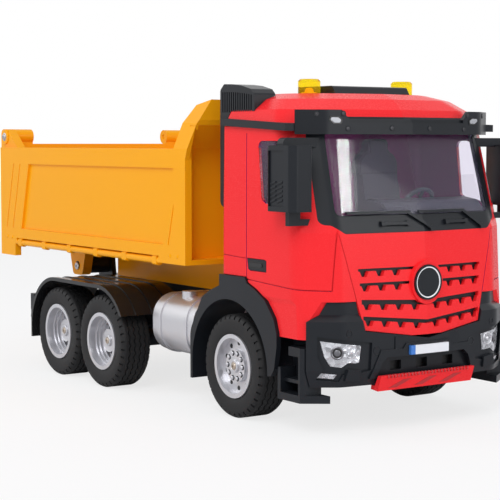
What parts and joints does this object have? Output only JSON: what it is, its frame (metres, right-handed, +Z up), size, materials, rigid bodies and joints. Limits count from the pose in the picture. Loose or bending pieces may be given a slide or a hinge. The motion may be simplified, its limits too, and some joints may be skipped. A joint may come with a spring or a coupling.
{
  "type": "toy dump truck",
  "caption": "Three-axle plastic toy dump truck with a tipping load bed, hinged tailgate, steered front axle and free-turning wheels.",
  "frame": {"origin": "on the floor under the middle of the truck's bounding box", "axes": "+X toward the front, +Y toward the truck's left, +Z up"},
  "size_m": [0.3378, 0.1532, 0.17],
  "materials": {
    "black": "matte",
    "red": "satin",
    "orange": "satin",
    "silver": "satin",
    "tyre": "matte",
    "amber": "satin",
    "clear": "satin",
    "lamp": "satin",
    "white": "satin",
    "grey": "matte",
    "tail_red": "satin",
    "steel": "satin"
  },
  "bodies": {
    "truck": {"chassis_frame": "black", "motor_block": "black", "rear_axle_middle": "black", "rear_axle_rear": "black", "bogie_springs": "black", "front_axle": "black", "rear_mudguards": "black", "rear_bar": "black", "screen_frame": "black", "grille_backing": "black", "cab_floor": "black", "gutters": "black", "sun_visor": "black", "mirrors": "black", "air_intake": "black", "front_bumper": "black", "front_arches": "black", "side_steps": "black", "badge": "black", "roof_hatch": "black", "wipers": "black", "grab_handles": "black", "door_handles": "black", "cab_shell": "red", "grille_panel": "red", "skid_plate": "red", "propshaft": "steel", "ram_pin": "steel", "fuel_tanks": "silver", "tail_lamps": "tail_red", "windscreen": "clear", "side_windows": "clear", "seats": "grey", "dashboard": "grey", "steering_wheel": "grey", "beacons": "amber", "headlamps": "lamp", "number_plate": "white"},
    "bed": {"load_bed": "orange"},
    "tailgate_flap": {"tailgate": "orange"},
    "ram_tube": {"ram_barrel": "black"},
    "ram_piston": {"ram_rod": "steel"},
    "steer_left": {"knuckle_left": "black"},
    "steer_right": {"knuckle_right": "black"},
    "steer_rack": {"steering_rack": "black"},
    "wheel_front_right": {"tyre_front_right": "tyre", "rim_front_right": "silver"},
    "wheel_front_left": {"tyre_front_left": "tyre", "rim_front_left": "silver"},
    "wheel_middle_right": {"tyre_middle_right": "tyre", "rim_middle_right": "silver"},
    "wheel_middle_left": {"tyre_middle_left": "tyre", "rim_middle_left": "silver"},
    "wheel_rear_right": {"tyre_rear_right": "tyre", "rim_rear_right": "silver"},
    "wheel_rear_left": {"tyre_rear_left": "tyre", "rim_rear_left": "silver"}
  },
  "joints": [
    {"name": "bed_tip", "type": "hinge", "parent": "truck", "child": "bed", "pos_m": [-0.11872, 0, 0.0615], "axis": [0, -1, 0], "range_deg": [0, 45]},
    {"name": "tailgate_swing", "type": "hinge", "parent": "bed", "child": "tailgate_flap", "pos_m": [-0.16423, 0, 0.1423], "axis": [0, 1, 0], "range_deg": [0, 60]},
    {"name": "ram_swing", "type": "hinge", "parent": "truck", "child": "ram_tube", "pos_m": [-0.06273, 0, 0.041], "axis": [0, -1, 0], "range_deg": [-3.64, 0.2]},
    {"name": "ram_slide", "type": "slide", "parent": "ram_tube", "child": "ram_piston", "axis": [-0.7922, 0, 0.6102], "range_m": [0, 0.01568]},
    {"name": "steer_left", "type": "hinge", "parent": "truck", "child": "steer_left", "pos_m": [0.09227, 0.04075, 0.02625], "axis": [0, 0, 1], "range_deg": [-18, 18]},
    {"name": "steer_right", "type": "hinge", "parent": "truck", "child": "steer_right", "pos_m": [0.09227, -0.04075, 0.02625], "axis": [0, 0, 1], "range_deg": [-18, 18]},
    {"name": "rack_slide", "type": "slide", "parent": "truck", "child": "steer_rack", "axis": [0, 1, 0], "range_m": [-0.0041, 0.0041]},
    {"name": "wheel_front_right_spin", "type": "hinge", "parent": "steer_right", "child": "wheel_front_right", "pos_m": [0.09227, -0.05525, 0.02625], "axis": [0, 1, 0], "continuous": true},
    {"name": "wheel_front_left_spin", "type": "hinge", "parent": "steer_left", "child": "wheel_front_left", "pos_m": [0.09227, 0.05525, 0.02625], "axis": [0, 1, 0], "continuous": true},
    {"name": "wheel_middle_right_spin", "type": "hinge", "parent": "truck", "child": "wheel_middle_right", "pos_m": [-0.02683, -0.06535, 0.02625], "axis": [0, 1, 0], "continuous": true},
    {"name": "wheel_middle_left_spin", "type": "hinge", "parent": "truck", "child": "wheel_middle_left", "pos_m": [-0.02683, 0.06535, 0.02625], "axis": [0, 1, 0], "continuous": true},
    {"name": "wheel_rear_right_spin", "type": "hinge", "parent": "truck", "child": "wheel_rear_right", "pos_m": [-0.08013, -0.06535, 0.02625], "axis": [0, 1, 0], "continuous": true},
    {"name": "wheel_rear_left_spin", "type": "hinge", "parent": "truck", "child": "wheel_rear_left", "pos_m": [-0.08013, 0.06535, 0.02625], "axis": [0, 1, 0], "continuous": true}
  ],
  "couplings": [
    {"joint": "steer_right", "follows": "steer_left", "ratio": 1},
    {"joint": "rack_slide", "follows": "steer_left", "m_per_rad": -0.013},
    {"joint": "ram_swing", "follows": "bed_tip", "ratio": -0.07652},
    {"joint": "ram_slide", "follows": "bed_tip", "m_per_rad": 0.019843}
  ]
}
